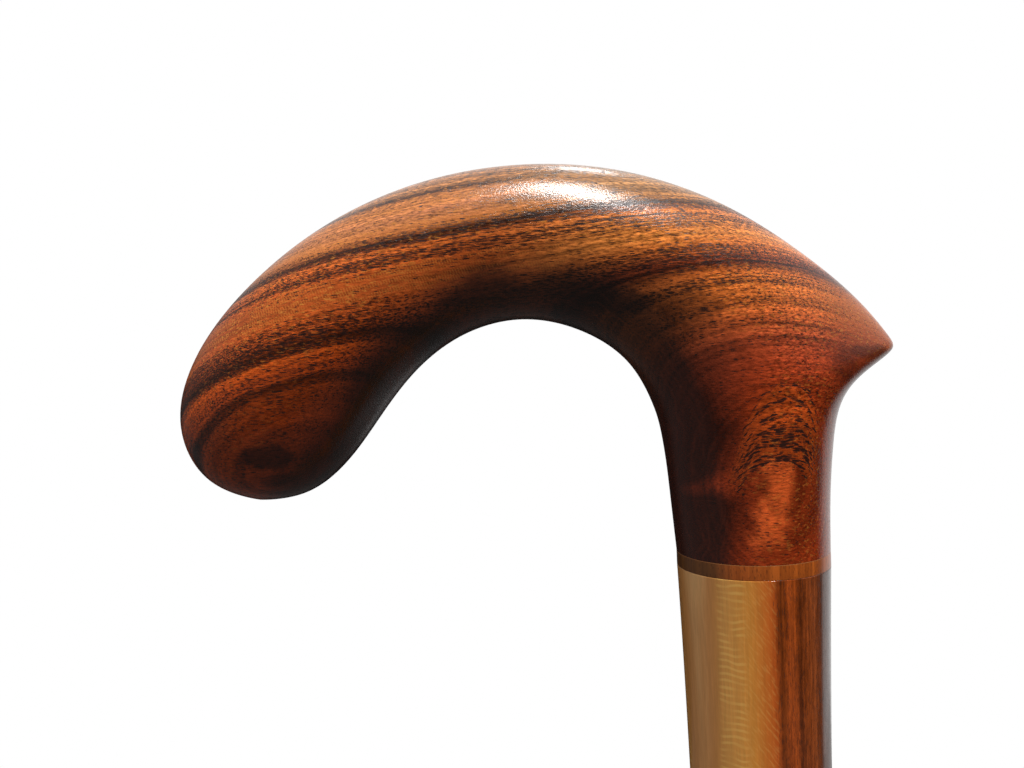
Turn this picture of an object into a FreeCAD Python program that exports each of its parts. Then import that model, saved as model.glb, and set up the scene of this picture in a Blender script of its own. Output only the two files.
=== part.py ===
import FreeCAD, Part
import math
import os

# Walking cane with a carved derby grip, in millimetres.
# The origin is the middle of the rubber tip's ground face, +Z runs up the shaft,
# the arm of the grip points to -X and its beak to +X.

Vector = FreeCAD.Vector

# The whole cane
overall_height = 914.0  # floor to the top of the grip
cut_overrun = 1.0  # how far every cutting solid runs past the face that it cuts

# Grip
grip_rise = 68.0  # underside of the neck to the crest
grip_reach = 97.7  # shaft axis to the far side of the bulb
beak_reach = 26.0  # shaft axis to the point of the beak
shoulder_half_depth = 13.4  # half the grip's thickness above the neck
arm_half_depth = 13.0  # half its thickness along the arm
bulb_half_depth = 14.6  # half its thickness at the bulb

# Collar between the grip and the shaft
collar_radius = 13.0
collar_height = 2.5
collar_bevel = 0.15  # broken edge on either side of each glue line

# Shaft
waist_radius = 11.2  # where the straight taper would reach the collar
tip_radius = 9.5  # parallel end that the rubber tip grips
swell_fade = 55.0  # length over which the swell under the collar dies away
swell_length = 275.0  # the straight taper starts this far below the collar
tip_end_bevel = 0.8

# Screw joint inside the neck
stud_radius = 4.0  # M8, drawn as a plain rod of its major radius
stud_end_bevel = 0.8
stud_stop_gap = 0.5  # between each end of the stud and the bottom of its hole
stud_hole_clearance = 0.3  # round the stud where it passes through the collar
thread_clearance = 0.03  # between the stud and each threaded insert
insert_radius = 6.0  # over the barbs
insert_barb_depth = 0.6
insert_barb_pitch = 3.0
insert_slot_width = 1.2
insert_slot_depth = 1.5
insert_inset = 0.4  # how far each insert stops below the wood's end face
insert_glue_gap = 0.1  # round the barbs
grip_insert_length = 21.0
shaft_insert_length = 27.0
drill_point_degrees = 118.0

# Rubber tip and the steel disc inside it
rubber_height = 46.0
rubber_foot_radius = 19.0
rubber_foot_height = 7.0  # parallel rim above the ground face
rubber_foot_rounding = 1.4
rubber_neck_radius = 12.6
rubber_neck_height = 21.0  # where the flare meets the neck
rubber_flare_sag = 1.6  # how far the flare curves in from a straight cone
rubber_lip_radius = 13.4
rubber_lip_height = 3.2
rubber_rib_count = 4
rubber_rib_radius = 13.3
rubber_rib_height = 2.2
rubber_rib_pitch = 4.6
rubber_first_rib = 4.0  # from the top of the flare to the middle of the lowest rib
rubber_grip_clearance = 0.05  # drawn round the shaft, which the real rubber squeezes
rubber_sole_thickness = 14.0  # ground face to the bottom of the bore
tread_groove_depth = 2.2
tread_land_radius = 5.5  # the middle land
tread_groove_width = 2.4
tread_ring_width = 2.8
tread_groove_count = 3
disc_radius = 9.3
disc_thickness = 1.5
disc_edge_bevel = 0.3

# Sizes that follow from those above
grip_base = overall_height - grip_rise
shaft_top = grip_base - collar_height
shaft_bottom = rubber_sole_thickness + disc_thickness
insert_hole_radius = insert_radius + insert_glue_gap
stud_top = grip_base + insert_inset + grip_insert_length
stud_bottom = shaft_top - insert_inset - shaft_insert_length

# Outline of the grip in the plane y = 0. Neck points are in collar radii across and in
# shares of the rise; the others are in shares of the reach on their own side and of the rise.
neck_back_shares = [(1.0, 0.0), (1.015, 0.118), (1.085, 0.279)]
beak_under_shares = [(0.677, 0.424), (0.954, 0.488), (1.0, 0.506)]
crown_beak_shares = [(1.0, 0.506), (0.831, 0.593), (0.442, 0.732)]
crown_arm_shares = [
    (-0.037, 0.881), (-0.193, 0.968), (-0.379, 1.0), (-0.562, 0.966), (-0.723, 0.875),
    (-0.863, 0.732), (-0.970, 0.544), (-1.0, 0.379), (-0.962, 0.247), (-0.873, 0.179),
]
neck_front_shares = [(-1.0, 0.0), (-1.077, 0.185), (-1.262, 0.393)]
crook_shares = [
    (-0.211, 0.497), (-0.287, 0.575), (-0.394, 0.612), (-0.499, 0.579), (-0.585, 0.494),
    (-0.657, 0.372), (-0.722, 0.259), (-0.786, 0.196), (-0.873, 0.179),
]

# How the sections of the grip follow that outline
crook_at_beak_share = 0.205  # length along the crook where its section reaches the beak
beak_narrowing_share = 0.45  # how much thinner a section is towards the beak than the crook
beak_fade_below_share = 0.22  # over this share of the neck's back
beak_fade_above_share = 0.13  # over this share of the crown
bulb_share = 0.8  # share of the crown at the bulb's thickest section
neck_sections = 16
crown_sections = 52
beak_crowding_power = 1.7  # over 1 draws the sections together at the beak
section_points = 28

# How the curve of the swell is laid out
swell_steps = 8
swell_spacing_power = 1.6  # over 1 draws its points together under the collar


def grip_point(x_share, z_share):
    """Place of an outline point that is given in shares of the reach and the rise."""
    reach = grip_reach if x_share < 0 else beak_reach
    return Vector(x_share * reach, 0, grip_base + z_share * grip_rise)


def neck_point(x_share, z_share):
    """Place of an outline point that is given in collar radii and a share of the rise."""
    return Vector(x_share * collar_radius, 0, grip_base + z_share * grip_rise)


def smooth_curve(points):
    """A smooth open curve through the points."""
    curve = Part.BSplineCurve()
    curve.interpolate(Points=points)
    return curve


def at_share(curve, share):
    """The point at a share of the curve's length."""
    if share >= 1:
        return curve.value(curve.LastParameter)
    return curve.value(curve.parameterAtDistance(share * curve.length(), curve.FirstParameter))


def between(start, end, share):
    """Goes from a start value to an end value with no slope at either."""
    return start + (end - start) * share * share * (3 - 2 * share)


def grip_stations():
    """Chords of the outline, from the neck's underside round to the end of the bulb.

    Each is (progress, crook point, outer point): progress runs from -1 at the neck
    over 0 at the beak to 1 at the end of the bulb.
    """
    back = smooth_curve(
        [neck_point(*p) for p in neck_back_shares] + [grip_point(*p) for p in beak_under_shares]
    )
    crown = smooth_curve([grip_point(*p) for p in crown_beak_shares + crown_arm_shares])
    crook = smooth_curve(
        [neck_point(*p) for p in neck_front_shares] + [grip_point(*p) for p in crook_shares]
    )
    stations = []
    for step in range(neck_sections):
        share = 1 - (1 - step / neck_sections) ** beak_crowding_power
        inner = at_share(crook, share * crook_at_beak_share)
        stations.append((share - 1, inner, at_share(back, share)))
    for step in range(crown_sections + 1):
        share = math.sin(step / crown_sections * math.pi / 2) ** beak_crowding_power
        inner = at_share(crook, crook_at_beak_share + (1 - crook_at_beak_share) * share)
        stations.append((share, inner, at_share(crown, share)))
    return stations


def half_depths(stations):
    """Half the grip's thickness at each station."""
    widths = [(outer - inner).Length / 2 for _, inner, outer in stations]
    shares = [share for share, _, _ in stations]
    bulb_width = max(width for share, width in zip(shares, widths) if share >= bulb_share)
    depths = []
    for share, width in zip(shares, widths):
        if share <= 0:
            neck_share = share + 1
            depth = between(collar_radius, shoulder_half_depth, neck_share)
        elif share <= bulb_share / 2:
            depth = between(shoulder_half_depth, arm_half_depth, share / (bulb_share / 2))
        elif share <= bulb_share:
            depth = between(arm_half_depth, bulb_half_depth, share / (bulb_share / 2) - 1)
        else:
            depth = bulb_half_depth * width / bulb_width
        depths.append(depth)
    return depths


def even_shares(steps):
    """0 to 1 in equal steps."""
    return [step / steps for step in range(steps + 1)]


def grip_section(inner, outer, half_depth, narrowing):
    """A closed oval curve on the chord from the crook to the outer side."""
    middle = (inner + outer) / 2
    across = (outer - inner) / 2
    turns = [2 * math.pi * step / section_points for step in range(section_points)]
    heights = [math.sin(turn) * (1 - narrowing * math.cos(turn)) for turn in turns]
    tallest = max(heights)
    points = [
        middle + across * math.cos(turn) + Vector(0, half_depth * height / tallest, 0)
        for turn, height in zip(turns, heights)
    ]
    oval = Part.BSplineCurve()
    oval.interpolate(Points=points, PeriodicFlag=True, Parameters=even_shares(section_points))
    return oval


def drilled_hole(mouth, depth, direction):
    """A round hole with a drill point, from a mouth height up (1) or down (-1)."""
    point_depth = insert_hole_radius / math.tan(math.radians(drill_point_degrees / 2))
    start = mouth - direction * cut_overrun
    axis = Vector(0, 0, direction)
    parallel = Part.makeCylinder(
        insert_hole_radius, depth + cut_overrun, Vector(0, 0, start), axis
    )
    point = Part.makeCone(
        insert_hole_radius, 0, point_depth, Vector(0, 0, mouth + direction * depth), axis
    )
    return parallel.fuse(point).removeSplitter()


def skinned_solid(ovals, last_point):
    """A solid whose smooth side runs through the ovals, from a flat end to a last point."""
    rows = [oval.getPoles() for oval in ovals]
    rows.append([last_point] * len(rows[0]))
    lines = []
    for column in zip(*rows):
        line = Part.BSplineCurve()
        line.interpolate(Points=list(column), Parameters=even_shares(len(ovals)))
        lines.append(line)
    surface = Part.BSplineSurface()
    surface.buildFromPolesMultsKnots(
        [line.getPoles() for line in lines],
        ovals[0].getMultiplicities(),
        lines[0].getMultiplicities(),
        ovals[0].getKnots(),
        lines[0].getKnots(),
        True,
        False,
        ovals[0].Degree,
        lines[0].Degree,
    )
    side = surface.toShape()
    flat_end = [edge for edge in side.Edges if edge.Closed and not edge.Degenerated]
    cap = Part.Face(Part.Wire(flat_end)).reversed()
    return Part.Solid(Part.Shell([side, cap]))


def make_handle():
    """The carved grip with the hole for its insert."""
    stations = grip_stations()
    depths = half_depths(stations)
    ovals = []
    for (share, inner, outer), depth in list(zip(stations, depths))[:-1]:
        fade = beak_fade_below_share if share < 0 else beak_fade_above_share
        narrowing = beak_narrowing_share * math.exp(-((share / fade) ** 2))
        ovals.append(grip_section(inner, outer, depth, narrowing))
    body = skinned_solid(ovals, stations[-1][2])
    hole = drilled_hole(grip_base, insert_inset + grip_insert_length + stud_stop_gap, 1)
    return body.cut(hole)


def revolved(profile):
    """A solid of revolution about the shaft axis from (radius, height) corners."""
    points = [Vector(radius, 0, height) for radius, height in profile]
    face = Part.Face(Part.makePolygon(points + points[:1]))
    return face.revolve(Vector(0, 0, 0), Vector(0, 0, 1), 360)


def make_collar():
    """The wooden spacer ring between the grip and the shaft."""
    hole = stud_radius + stud_hole_clearance
    return revolved([
        (hole, shaft_top),
        (collar_radius - collar_bevel, shaft_top),
        (collar_radius, shaft_top + collar_bevel),
        (collar_radius, grip_base - collar_bevel),
        (collar_radius - collar_bevel, grip_base),
        (hole, grip_base),
    ])


def shaft_radius(below):
    """The shaft's radius at a distance below the collar."""
    length = shaft_top - rubber_height
    taper = (waist_radius - tip_radius) / length
    swell = (collar_radius - waist_radius) * math.exp(-below / swell_fade)
    return waist_radius - taper * below + swell


def make_shaft():
    """The tapered shaft, swelling to the collar, with the hole for its insert."""
    distances = [
        collar_bevel + (swell_length - collar_bevel) * (step / swell_steps) ** swell_spacing_power
        for step in range(swell_steps + 1)
    ]
    side = [Vector(shaft_radius(below), 0, shaft_top - below) for below in distances]
    swell = Part.BSplineCurve()
    swell.interpolate(Points=side)
    rubber_top = Vector(tip_radius, 0, rubber_height)
    corners = [
        side[-1],
        rubber_top,
        Vector(tip_radius, 0, shaft_bottom + tip_end_bevel),
        Vector(tip_radius - tip_end_bevel, 0, shaft_bottom),
        Vector(0, 0, shaft_bottom),
        Vector(0, 0, shaft_top),
        Vector(side[0].x - collar_bevel, 0, shaft_top),
        side[0],
    ]
    wire = Part.Wire([swell.toShape()] + Part.makePolygon(corners).Edges)
    body = Part.Face(wire).revolve(Vector(0, 0, 0), Vector(0, 0, 1), 360)
    hole = drilled_hole(shaft_top, insert_inset + shaft_insert_length + stud_stop_gap, -1)
    return body.cut(hole)


def make_insert(mouth, length, direction):
    """A barbed brass insert, with a driving slot across the end at the mouth."""
    bore = stud_radius + thread_clearance
    root = insert_radius - insert_barb_depth
    outline = [(bore, 0), (root, 0)]
    barbs = int(length // insert_barb_pitch)
    for barb in range(barbs):
        start = barb * insert_barb_pitch
        outline.append((insert_radius, start + insert_barb_pitch - insert_barb_depth))
        outline.append((root, start + insert_barb_pitch))
    if barbs * insert_barb_pitch < length:
        outline.append((root, length))
    outline.append((bore, length))
    body = revolved([(radius, mouth + direction * along) for radius, along in outline])
    slot_top = mouth + direction * insert_slot_depth
    slot_low = min(mouth - direction * cut_overrun, slot_top)
    slot_high = max(mouth - direction * cut_overrun, slot_top)
    slot = Part.makeBox(
        2 * (insert_radius + cut_overrun),
        insert_slot_width,
        slot_high - slot_low,
        Vector(-insert_radius - cut_overrun, -insert_slot_width / 2, slot_low),
    )
    return body.cut(slot)


def make_stud():
    """The steel stud that pulls the grip and the shaft together."""
    return revolved([
        (0, stud_bottom),
        (stud_radius - stud_end_bevel, stud_bottom),
        (stud_radius, stud_bottom + stud_end_bevel),
        (stud_radius, stud_top - stud_end_bevel),
        (stud_radius - stud_end_bevel, stud_top),
        (0, stud_top),
    ])


def make_rubber_tip():
    """The rubber tip: a ribbed neck, a flared foot, a tread and a blind bore."""
    flare_foot = Vector(rubber_foot_radius, 0, rubber_foot_height)
    flare_top = Vector(rubber_neck_radius, 0, rubber_neck_height)
    chord = flare_top - flare_foot
    inward = Vector(-chord.z, 0, chord.x).normalize()
    flare_middle = (flare_foot + flare_top) / 2 + inward * rubber_flare_sag
    turn = rubber_foot_rounding * (1 - math.sqrt(0.5))
    foot_edge = Part.Arc(
        Vector(rubber_foot_radius - rubber_foot_rounding, 0, 0),
        Vector(rubber_foot_radius - turn, 0, turn),
        Vector(rubber_foot_radius, 0, rubber_foot_rounding),
    )
    flare = Part.Arc(flare_foot, flare_middle, flare_top)
    corners = [
        flare_top,
        Vector(rubber_neck_radius, 0, rubber_height),
        Vector(0, 0, rubber_height),
        Vector(0, 0, 0),
        Vector(rubber_foot_radius - rubber_foot_rounding, 0, 0),
    ]
    rim = Part.LineSegment(Vector(rubber_foot_radius, 0, rubber_foot_rounding), flare_foot)
    wire = Part.Wire(
        [foot_edge.toShape(), rim.toShape(), flare.toShape()] + Part.makePolygon(corners).Edges
    )
    body = Part.Face(wire).revolve(Vector(0, 0, 0), Vector(0, 0, 1), 360)
    heights = [
        rubber_neck_height + rubber_first_rib + number * rubber_rib_pitch
        for number in range(rubber_rib_count)
    ]
    for height in heights:
        body = body.fuse(round_band(height, rubber_rib_height, rubber_rib_radius))
    lip_middle = rubber_height - rubber_lip_height / 2
    body = body.fuse(round_band(lip_middle, rubber_lip_height, rubber_lip_radius))
    bore = Part.makeCylinder(
        tip_radius + rubber_grip_clearance,
        rubber_height - rubber_sole_thickness + cut_overrun,
        Vector(0, 0, rubber_sole_thickness),
    )
    body = body.cut(bore)
    for number in range(tread_groove_count):
        inner = tread_land_radius + number * (tread_groove_width + tread_ring_width)
        body = body.cut(tread_groove(inner))
    return body


def round_band(middle, height, radius):
    """A rounded band that stands out of the rubber's neck."""
    root = rubber_neck_radius - (radius - rubber_neck_radius)
    low = Vector(rubber_neck_radius, 0, middle - height / 2)
    high = Vector(rubber_neck_radius, 0, middle + height / 2)
    crest = Part.Arc(low, Vector(radius, 0, middle), high)
    back = Part.makePolygon([high, Vector(root, 0, high.z), Vector(root, 0, low.z), low])
    face = Part.Face(Part.Wire([crest.toShape()] + back.Edges))
    return face.revolve(Vector(0, 0, 0), Vector(0, 0, 1), 360)


def tread_groove(inner):
    """One ring-shaped groove in the ground face."""
    height = tread_groove_depth + cut_overrun
    low = Vector(0, 0, -cut_overrun)
    outside = Part.makeCylinder(inner + tread_groove_width, height, low)
    return outside.cut(Part.makeCylinder(inner, height, low))


def make_disc():
    """The steel disc that keeps the shaft's end from punching through the rubber."""
    return revolved([
        (0, rubber_sole_thickness),
        (disc_radius - disc_edge_bevel, rubber_sole_thickness),
        (disc_radius, rubber_sole_thickness + disc_edge_bevel),
        (disc_radius, shaft_bottom - disc_edge_bevel),
        (disc_radius - disc_edge_bevel, shaft_bottom),
        (0, shaft_bottom),
    ])


def main():
    """Builds each piece, prints its size and writes it to its own file."""
    pieces = {
        "handle": make_handle(),
        "handle_insert": make_insert(grip_base + insert_inset, grip_insert_length, 1),
        "joining_stud": make_stud(),
        "spacer_ring": make_collar(),
        "shaft": make_shaft(),
        "shaft_insert": make_insert(shaft_top - insert_inset, shaft_insert_length, -1),
        "rubber_tip": make_rubber_tip(),
        "tip_washer": make_disc(),
    }
    os.makedirs("parts", exist_ok=True)
    for name, shape in pieces.items():
        box = shape.BoundBox
        print(
            f"{name}: valid {shape.isValid()}, solids {len(shape.Solids)}, volume {shape.Volume:.0f} mm3, "
            f"x {box.XMin:.2f} to {box.XMax:.2f}, y {box.YMin:.2f} to {box.YMax:.2f}, "
            f"z {box.ZMin:.2f} to {box.ZMax:.2f}"
        )
        shape.exportStep(f"parts/{name}.step")


main()
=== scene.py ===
import functools
import math
import bmesh
import bpy
import numpy as np
from mathutils import Euler, Matrix, Vector


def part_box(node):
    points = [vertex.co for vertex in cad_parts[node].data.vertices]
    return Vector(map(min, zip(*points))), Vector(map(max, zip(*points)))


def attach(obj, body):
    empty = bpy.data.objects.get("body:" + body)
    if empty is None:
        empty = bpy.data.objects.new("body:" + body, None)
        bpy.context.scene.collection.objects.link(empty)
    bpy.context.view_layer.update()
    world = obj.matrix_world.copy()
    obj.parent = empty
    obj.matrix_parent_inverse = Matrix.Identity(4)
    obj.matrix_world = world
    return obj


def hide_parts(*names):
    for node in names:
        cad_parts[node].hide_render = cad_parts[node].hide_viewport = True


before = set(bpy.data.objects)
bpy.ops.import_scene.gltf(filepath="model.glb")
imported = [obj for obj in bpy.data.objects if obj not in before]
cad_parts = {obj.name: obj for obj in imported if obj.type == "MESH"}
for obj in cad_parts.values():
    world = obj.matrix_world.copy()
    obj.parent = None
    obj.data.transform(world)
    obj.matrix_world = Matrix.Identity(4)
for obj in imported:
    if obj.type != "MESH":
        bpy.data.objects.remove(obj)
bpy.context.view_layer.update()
print("frame loaded:", ", ".join(sorted(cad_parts)))

gripLow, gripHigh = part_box("handle")
ringLow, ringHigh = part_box("spacer_ring")
shaftLow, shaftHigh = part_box("shaft")
studLow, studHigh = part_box("joining_stud")
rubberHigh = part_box("rubber_tip")[1]
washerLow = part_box("tip_washer")[0]
mm = 0.001
fullTurn = 2 * math.pi


# Nodes, trees and materials. A socket knows its tree, so most of these find the tree in what they are given

def setInput(socket, value):
    if isinstance(value, bpy.types.NodeSocket):
        socket.id_data.links.new(value, socket)
    else:
        socket.default_value = value


def treeOf(*values):
    return next(value.id_data for value in values if isinstance(value, bpy.types.NodeSocket))


def addNode(tree, kind, inputs=None, **settings):
    made = tree.nodes.new(kind)
    for key, value in settings.items():
        setattr(made, key, value)
    for key, value in (inputs or {}).items():
        setInput(made.inputs[key], value)
    return made


def calc(operation, *values, clamp=False):
    inputs = dict(enumerate(values))
    return addNode(treeOf(*values), "ShaderNodeMath", inputs, operation=operation, use_clamp=clamp).outputs[0]


def chain(operation, *values):
    return functools.reduce(functools.partial(calc, operation), values)


plus = functools.partial(chain, "ADD")
times = functools.partial(chain, "MULTIPLY")
most = functools.partial(chain, "MAXIMUM")
minus = functools.partial(calc, "SUBTRACT")
over = functools.partial(calc, "DIVIDE")
timesPlus = functools.partial(calc, "MULTIPLY_ADD")


def vectorCalc(operation, *values):
    made = addNode(treeOf(*values), "ShaderNodeVectorMath", dict(enumerate(values)), operation=operation)
    return made.outputs["Value" if operation in ("DOT_PRODUCT", "LENGTH") else "Vector"]


stretch = functools.partial(vectorCalc, "MULTIPLY")
dot = functools.partial(vectorCalc, "DOT_PRODUCT")


def scaled(vector, factor):
    made = addNode(treeOf(vector), "ShaderNodeVectorMath", {0: vector, "Scale": factor}, operation="SCALE")
    return made.outputs["Vector"]


def apart(vector):
    return addNode(treeOf(vector), "ShaderNodeSeparateXYZ", {0: vector}).outputs


def together(x=0.0, y=0.0, z=0.0):
    return addNode(treeOf(x, y, z), "ShaderNodeCombineXYZ", {0: x, 1: y, 2: z}).outputs[0]


def remap(value, low, high, toLow=0.0, toHigh=1.0, kind="SMOOTHSTEP"):
    sockets = {"Value": value, "From Min": low, "From Max": high, "To Min": toLow, "To Max": toHigh}
    return addNode(treeOf(value), "ShaderNodeMapRange", sockets, interpolation_type=kind).outputs["Result"]


def swing(value, toLow, toHigh):
    # a noise keeps mostly between 0.3 and 0.7, which goes from toLow to toHigh here
    return remap(value, 0.3, 0.7, toLow, toHigh, kind="LINEAR")


def window(value, rise, fall):
    # grows over the first span and dies out over the second
    return times(remap(value, *rise), remap(value, *fall))


def noise(vector, scale, detail=2.0, roughness=0.5, output=0):
    inputs = {"Vector": vector, "Scale": scale, "Detail": detail, "Roughness": roughness}
    return addNode(treeOf(vector), "ShaderNodeTexNoise", inputs).outputs[output]


def colourParts(colour):
    return addNode(treeOf(colour), "ShaderNodeSeparateColor", {0: colour}).outputs


def dicedCells(vector, scale, randomness):
    # the distance from a cell's middle, and the cell's own random numbers
    inputs = {"Vector": vector, "Scale": scale, "Randomness": randomness}
    cells = addNode(treeOf(vector), "ShaderNodeTexVoronoi", inputs)
    return cells.outputs["Distance"], colourParts(cells.outputs["Color"])


def linear(part):
    return part / 12.92 if part <= 0.04045 else ((part + 0.055) / 1.055) ** 2.4


def shade(colour):
    # a colour as a picture shows it, 0 to 255, is made linear; a single value from 0 to 1 becomes that grey
    if isinstance(colour, tuple):
        return tuple(linear(part / 255) for part in colour) + (1.0,)
    return (colour, colour, colour, 1.0)


def mixColour(share, first, second):
    made = addNode(treeOf(share, first, second), "ShaderNodeMix", data_type="RGBA", clamp_factor=True)
    for number, value in ((0, share), (6, first), (7, second)):
        setInput(made.inputs[number], shade(value) if isinstance(value, tuple) else value)
    return made.outputs[2]


def layerRamp(value, stops, first, last):
    # stops are (value, colour) pairs between first and last; a ramp has two handles and holds 32 at most
    place = remap(value, first, last, kind="LINEAR")
    made = addNode(treeOf(value), "ShaderNodeValToRGB", {0: place})
    handles = made.color_ramp.elements
    for number, (at, colour) in enumerate(stops):
        spot = (at - first) / (last - first)
        handle = handles[number] if number < 2 else handles.new(spot)
        handle.position = spot
        handle.color = shade(colour)
    return made.outputs["Color"]


def startTree(name, kind, inputs, outputs):
    # an input has its value as default, or the kind of its socket where it has none
    tree = bpy.data.node_groups.new(name, kind)
    kinds = {tuple: "Vector", float: "Float", int: "Int"}
    for label, value in inputs.items():
        socketKind = "NodeSocket" + kinds.get(type(value), value if isinstance(value, str) else "")
        socket = tree.interface.new_socket(label, in_out="INPUT", socket_type=socketKind)
        if type(value) in kinds:
            socket.default_value = value
    for label, value in outputs.items():
        tree.interface.new_socket(label, in_out="OUTPUT", socket_type="NodeSocket" + value)
    return tree, tree.nodes.new("NodeGroupInput").outputs, tree.nodes.new("NodeGroupOutput").inputs


def startNodes(owner):
    owner.use_nodes = True
    owner.node_tree.nodes.clear()
    return owner.node_tree


def startMaterial(name):
    material = bpy.data.materials.new(name)
    tree = startNodes(material)
    surface = addNode(tree, "ShaderNodeBsdfPrincipled")
    addNode(tree, "ShaderNodeOutputMaterial", {"Surface": surface.outputs[0]})
    return material, surface, addNode(tree, "ShaderNodeTexCoord").outputs["Object"]


def finishSurface(surface, colour, rough, specular, *reliefs):
    # reliefs are (height, strength, depth), each laid on the one before
    setInput(surface.inputs["Base Color"], colour)
    setInput(surface.inputs["Roughness"], rough)
    surface.inputs["Specular IOR Level"].default_value = specular
    normal = None
    for height, strength, depth in reliefs:
        inputs = {"Height": height, "Strength": strength, "Distance": depth}
        if normal:
            inputs["Normal"] = normal
        normal = addNode(treeOf(height), "ShaderNodeBump", inputs).outputs[0]
    if normal:
        setInput(surface.inputs["Normal"], normal)


def useGroup(group, inputs):
    return addNode(treeOf(inputs["Point"]), "ShaderNodeGroup", inputs, node_tree=group).outputs


# Objects and meshes

def addObject(name, data):
    made = bpy.data.objects.new(name, data)
    bpy.context.scene.collection.objects.link(made)
    return made


def addPiece(name, mesh, body, material, node):
    piece = addObject(name, mesh)
    mesh.materials.clear()
    mesh.materials.append(material)
    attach(piece, body)
    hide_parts(node)
    print(name, "made:", len(mesh.polygons), "faces")


def ringFaces(rings, sides):
    # the four-sided faces between each ring of points and the next
    faces = []
    for ring in range(rings - 1):
        for side in range(sides):
            a, b = ring * sides + side, ring * sides + (side + 1) % sides
            faces.append((a, b, b + sides, a + sides))
    return faces


def closedMesh(mesh, flatEnds=False):
    # welds the pole, turns the faces outwards and keeps a hard edge round a flat end
    shape = bmesh.new()
    shape.from_mesh(mesh)
    bmesh.ops.remove_doubles(shape, verts=shape.verts, dist=0.002 * mm)
    bmesh.ops.recalc_face_normals(shape, faces=shape.faces)
    for face in shape.faces:
        face.smooth = True
        if flatEnds and len(face.verts) > 4:
            for edge in face.edges:
                edge.smooth = False
    shape.to_mesh(mesh)
    shape.free()
    return mesh


def roundedLine(corners, steps=6):
    # (radius, height, rounding) corners joined by straight runs with rounded turns
    points = []
    for number, (radius, height, rounding) in enumerate(corners):
        here = np.array([radius, height])
        if not rounding:
            points.append(here)
            continue
        before = np.array(corners[number - 1][:2]) - here
        after = np.array(corners[number + 1][:2]) - here
        start = here + before / np.linalg.norm(before) * rounding
        end = here + after / np.linalg.norm(after) * rounding
        for step in range(steps + 1):
            share = step / steps
            points.append((1 - share) ** 2 * start + 2 * share * (1 - share) * here + share ** 2 * end)
    return points


def turnedMesh(name, profile, sides):
    turns = [(math.cos(fullTurn * side / sides), math.sin(fullTurn * side / sides)) for side in range(sides)]
    points = [(radius * x, radius * y, height) for radius, height in profile for x, y in turns]
    mesh = bpy.data.meshes.new(name)
    mesh.from_pydata(points, [], ringFaces(len(profile), sides))
    return closedMesh(mesh)


def evaluatedMesh(name, tree, values, material, start=None):
    # runs a tree on an empty mesh or a started one, and keeps what it makes as a plain mesh
    holder = addObject(name + "Holder", start or bpy.data.meshes.new(name + "Holder"))
    modifier = holder.modifiers.new(name, "NODES")
    modifier.node_group = tree
    values = dict(values, Material=material)
    for item in tree.interface.items_tree:
        if item.in_out == "INPUT" and item.name in values:
            modifier[item.identifier] = values[item.name]
    evaluated = holder.evaluated_get(bpy.context.evaluated_depsgraph_get())
    mesh = bpy.data.meshes.new_from_object(evaluated)
    mesh.name = name
    holder.modifiers.remove(modifier)
    bpy.data.objects.remove(holder)
    return mesh


def startShapeTree(name, inputs):
    return startTree(name, "GeometryNodeTree", dict(inputs, Material="Material"), {"Geometry": "Geometry"})


def shapeNode(tree, kind, inputs=None, **settings):
    return addNode(tree, "GeometryNode" + kind, inputs, **settings).outputs[0]


def finishTree(tree, geometry, given, result):
    whole = shapeNode(tree, "RealizeInstances", {"Geometry": geometry})
    finished = shapeNode(tree, "SetMaterial", {"Geometry": whole, "Material": given["Material"]})
    setInput(result["Geometry"], finished)
    return tree


# Shader groups that more than one wood uses

def growthLayersGroup():
    # the number of the growth layer at a point: tilted, bowed sheets that waver a little along the grain
    tree, given, result = startTree("growthLayers", "ShaderNodeTree", {
        "Point": (0.0, 0.0, 0.0), "Centre": (0.0, 0.0, 0.0), "Reach": 0.03, "Tilt": (0.0, -1.0, 0.0),
        "Bow": (0.0, 0.0, 0.0), "Twist": (0.0, 0.0, 0.0), "Waver Stretch": (20.0, 90.0, 90.0), "Waver": 0.07,
        "Ripple": 0.02, "Crown": 0.9,
    }, {"Layer": "Float"})
    local = scaled(vectorCalc("SUBTRACT", given["Point"], given["Centre"]), over(1.0, given["Reach"]))
    x, y, z = apart(local)
    crossed = together(times(y, z), times(z, x), times(x, y))
    bowed = dot(stretch(local, local), given["Bow"])
    layer = plus(dot(local, given["Tilt"]), bowed, dot(crossed, given["Twist"]))
    stretched = stretch(given["Point"], given["Waver Stretch"])
    broad = times(minus(noise(stretched, 1.0, 1.5), 0.5), given["Waver"])
    fine = times(minus(noise(stretched, 6.0), 0.5), given["Ripple"])
    steepness = calc("SQRT", most(minus(given["Crown"], layer), 0.0))
    setInput(result["Layer"], timesPlus(plus(broad, fine), steepness, layer))
    return tree


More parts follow.
